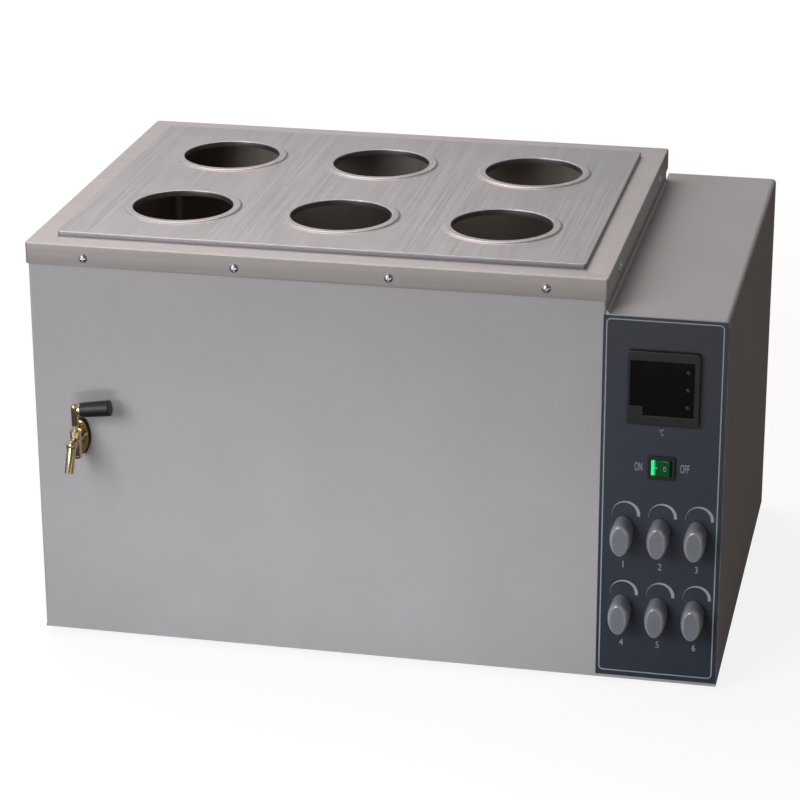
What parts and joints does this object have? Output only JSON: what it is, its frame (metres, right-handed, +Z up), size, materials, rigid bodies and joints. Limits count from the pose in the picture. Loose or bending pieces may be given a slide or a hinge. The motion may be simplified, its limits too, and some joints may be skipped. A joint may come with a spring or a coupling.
{
  "type": "magnetic stirring water bath",
  "caption": "Bench water bath with magnetic stirring: painted cabinet, stainless tank and rim, lift-off lid with round vessel holes, drain tap, and a side control box with speed knobs.",
  "frame": {"origin": "on the bench plane under the middle of the cabinet's width and the rim's depth", "axes": "+X to the right along the front, +Y to the back, +Z up"},
  "size_m": [0.6023, 0.4612, 0.3719],
  "materials": {
    "paint": "light grey fine texture",
    "steel": "brushed",
    "zinc": "bright zinc",
    "brass": "polished",
    "black_rubber": "matte",
    "black_plastic": "fine texture",
    "panel_print": "printed satin",
    "window": "gloss",
    "knob": "gloss",
    "green_lens": "gloss, lit",
    "wool": "mineral wool",
    "board": "solder mask",
    "motor": "black"
  },
  "bodies": {
    "cabinet": {"housing_wrap": "paint", "rear_panel": "paint", "rear_screws": "zinc", "base_plate": "paint", "base_fixings": "zinc", "feet": "black_rubber", "rim_frame": "steel", "rim_screws": "zinc", "tank": "steel", "insulation": "wool", "heater": "steel", "wall_glands": "zinc", "probe": "steel", "motor_deck": "zinc", "deck_posts": "zinc", "deck_nuts": "zinc", "stir_motors": "motor", "motor_screws": "zinc", "motor_loom": "black_rubber", "wire_grommet": "black_rubber", "control_front": "paint", "control_cover": "paint", "control_rear": "paint", "control_screws": "zinc", "panel_overlay": "panel_print", "controller_case": "black_plastic", "controller_window": "window", "controller_clamp": "black_plastic", "switch_body": "black_plastic", "speed_pots": "zinc", "pot_nuts": "zinc", "speed_board": "board", "board_parts": "black_plastic", "board_standoffs": "brass", "power_inlet": "black_plastic", "inlet_blades": "zinc", "tap_body": "brass", "tap_gasket": "black_rubber", "tap_washer": "black_rubber", "tap_nut": "brass"},
    "lid": {"lid": "steel", "lid_locators": "steel"},
    "tap_lever": {"tap_plug": "brass", "lever_arm": "brass", "lever_grip": "black_plastic"},
    "rocker": {"switch_rocker": "green_lens"},
    "key_1": {"controller_key_1": "black_plastic"},
    "key_2": {"controller_key_2": "black_plastic"},
    "key_3": {"controller_key_3": "black_plastic"},
    "knob_1": {"speed_knob_1": "knob"},
    "knob_2": {"speed_knob_2": "knob"},
    "knob_3": {"speed_knob_3": "knob"},
    "knob_4": {"speed_knob_4": "knob"},
    "knob_5": {"speed_knob_5": "knob"},
    "knob_6": {"speed_knob_6": "knob"},
    "rotor_1": {"magnet_rotor_1": "motor"},
    "rotor_2": {"magnet_rotor_2": "motor"},
    "rotor_3": {"magnet_rotor_3": "motor"},
    "rotor_4": {"magnet_rotor_4": "motor"},
    "rotor_5": {"magnet_rotor_5": "motor"},
    "rotor_6": {"magnet_rotor_6": "motor"}
  },
  "joints": [
    {"name": "lid_lift", "type": "slide", "parent": "cabinet", "child": "lid", "axis": [0, 0, 1], "range_m": [0, 0.2]},
    {"name": "tap_turn", "type": "hinge", "parent": "cabinet", "child": "tap_lever", "pos_m": [-0.2565, -0.214, 0.1928], "axis": [0, 0, 1], "range_deg": [-90, 0]},
    {"name": "power_rocker", "type": "hinge", "parent": "cabinet", "child": "rocker", "pos_m": [0.248, -0.1938, 0.204], "axis": [0, 0, 1], "range_deg": [0, 16]},
    {"name": "key_1_press", "type": "slide", "parent": "cabinet", "child": "key_1", "axis": [0, 1, 0], "range_m": [0, 0.0006], "stiffness_N_per_m": 400},
    {"name": "key_2_press", "type": "slide", "parent": "cabinet", "child": "key_2", "axis": [0, 1, 0], "range_m": [0, 0.0006], "stiffness_N_per_m": 400},
    {"name": "key_3_press", "type": "slide", "parent": "cabinet", "child": "key_3", "axis": [0, 1, 0], "range_m": [0, 0.0006], "stiffness_N_per_m": 400},
    {"name": "knob_1_turn", "type": "hinge", "parent": "cabinet", "child": "knob_1", "pos_m": [0.217, -0.1968, 0.1425], "axis": [0, -1, 0], "range_deg": [-140, 140]},
    {"name": "knob_2_turn", "type": "hinge", "parent": "cabinet", "child": "knob_2", "pos_m": [0.248, -0.1968, 0.1425], "axis": [0, -1, 0], "range_deg": [-140, 140]},
    {"name": "knob_3_turn", "type": "hinge", "parent": "cabinet", "child": "knob_3", "pos_m": [0.279, -0.1968, 0.1425], "axis": [0, -1, 0], "range_deg": [-140, 140]},
    {"name": "knob_4_turn", "type": "hinge", "parent": "cabinet", "child": "knob_4", "pos_m": [0.217, -0.1968, 0.07], "axis": [0, -1, 0], "range_deg": [-140, 140]},
    {"name": "knob_5_turn", "type": "hinge", "parent": "cabinet", "child": "knob_5", "pos_m": [0.248, -0.1968, 0.07], "axis": [0, -1, 0], "range_deg": [-140, 140]},
    {"name": "knob_6_turn", "type": "hinge", "parent": "cabinet", "child": "knob_6", "pos_m": [0.279, -0.1968, 0.07], "axis": [0, -1, 0], "range_deg": [-140, 140]},
    {"name": "rotor_1_spin", "type": "hinge", "parent": "cabinet", "child": "rotor_1", "pos_m": [-0.192, -0.086, 0.17], "axis": [0, 0, 1], "continuous": true},
    {"name": "rotor_2_spin", "type": "hinge", "parent": "cabinet", "child": "rotor_2", "pos_m": [-0.05, -0.086, 0.17], "axis": [0, 0, 1], "continuous": true},
    {"name": "rotor_3_spin", "type": "hinge", "parent": "cabinet", "child": "rotor_3", "pos_m": [0.092, -0.086, 0.17], "axis": [0, 0, 1], "continuous": true},
    {"name": "rotor_4_spin", "type": "hinge", "parent": "cabinet", "child": "rotor_4", "pos_m": [-0.192, 0.077, 0.17], "axis": [0, 0, 1], "continuous": true},
    {"name": "rotor_5_spin", "type": "hinge", "parent": "cabinet", "child": "rotor_5", "pos_m": [-0.05, 0.077, 0.17], "axis": [0, 0, 1], "continuous": true},
    {"name": "rotor_6_spin", "type": "hinge", "parent": "cabinet", "child": "rotor_6", "pos_m": [0.092, 0.077, 0.17], "axis": [0, 0, 1], "continuous": true}
  ]
}
